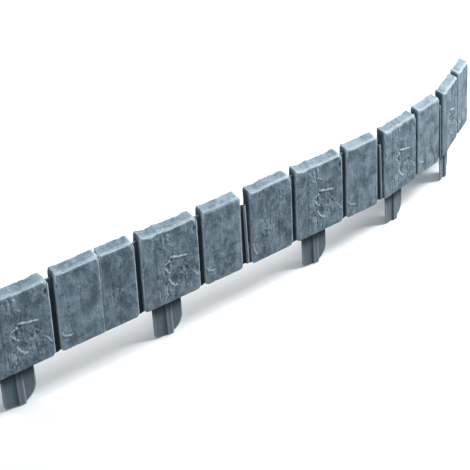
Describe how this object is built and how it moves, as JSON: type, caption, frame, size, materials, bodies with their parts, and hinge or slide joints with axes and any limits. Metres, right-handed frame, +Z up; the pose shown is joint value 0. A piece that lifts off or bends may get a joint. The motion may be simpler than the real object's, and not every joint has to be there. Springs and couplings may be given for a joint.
{
  "type": "plastic garden edging",
  "caption": "Run of moulded stone-look lawn edging: hollow-backed blocks on stakes, sections slotted post to socket in a gentle curve.",
  "frame": {"origin": "on the floor under the stake tips, at the middle of the run's box", "axes": "+Z up, +X along the run from its free socket end to its free post end, block faces towards -Y"},
  "size_m": [1.0366, 0.0866, 0.1474],
  "materials": {
    "plastic": "weathered matt grey stone-effect plastic"
  },
  "bodies": {
    "section_1": {"section_1": "plastic"},
    "section_2": {"section_2": "plastic"},
    "section_3": {"section_3": "plastic"},
    "section_4": {"section_4": "plastic"},
    "section_5": {"section_5": "plastic"}
  },
  "joints": [
    {"name": "link_1", "type": "hinge", "parent": "section_1", "child": "section_2", "pos_m": [-0.26774, 0.00867, 0.086], "axis": [0, 0, 1], "range_deg": [0, 18]},
    {"name": "link_2", "type": "hinge", "parent": "section_2", "child": "section_3", "pos_m": [-0.0577, -0.01526, 0.086], "axis": [0, 0, 1], "range_deg": [-19.5, 16.5]},
    {"name": "link_3", "type": "hinge", "parent": "section_3", "child": "section_4", "pos_m": [0.19035, -0.03696, 0.086], "axis": [0, 0, 1], "range_deg": [-29, 7]},
    {"name": "link_4", "type": "hinge", "parent": "section_4", "child": "section_5", "pos_m": [0.35793, -0.01935, 0.086], "axis": [0, 0, 1], "range_deg": [-32, 4]}
  ]
}
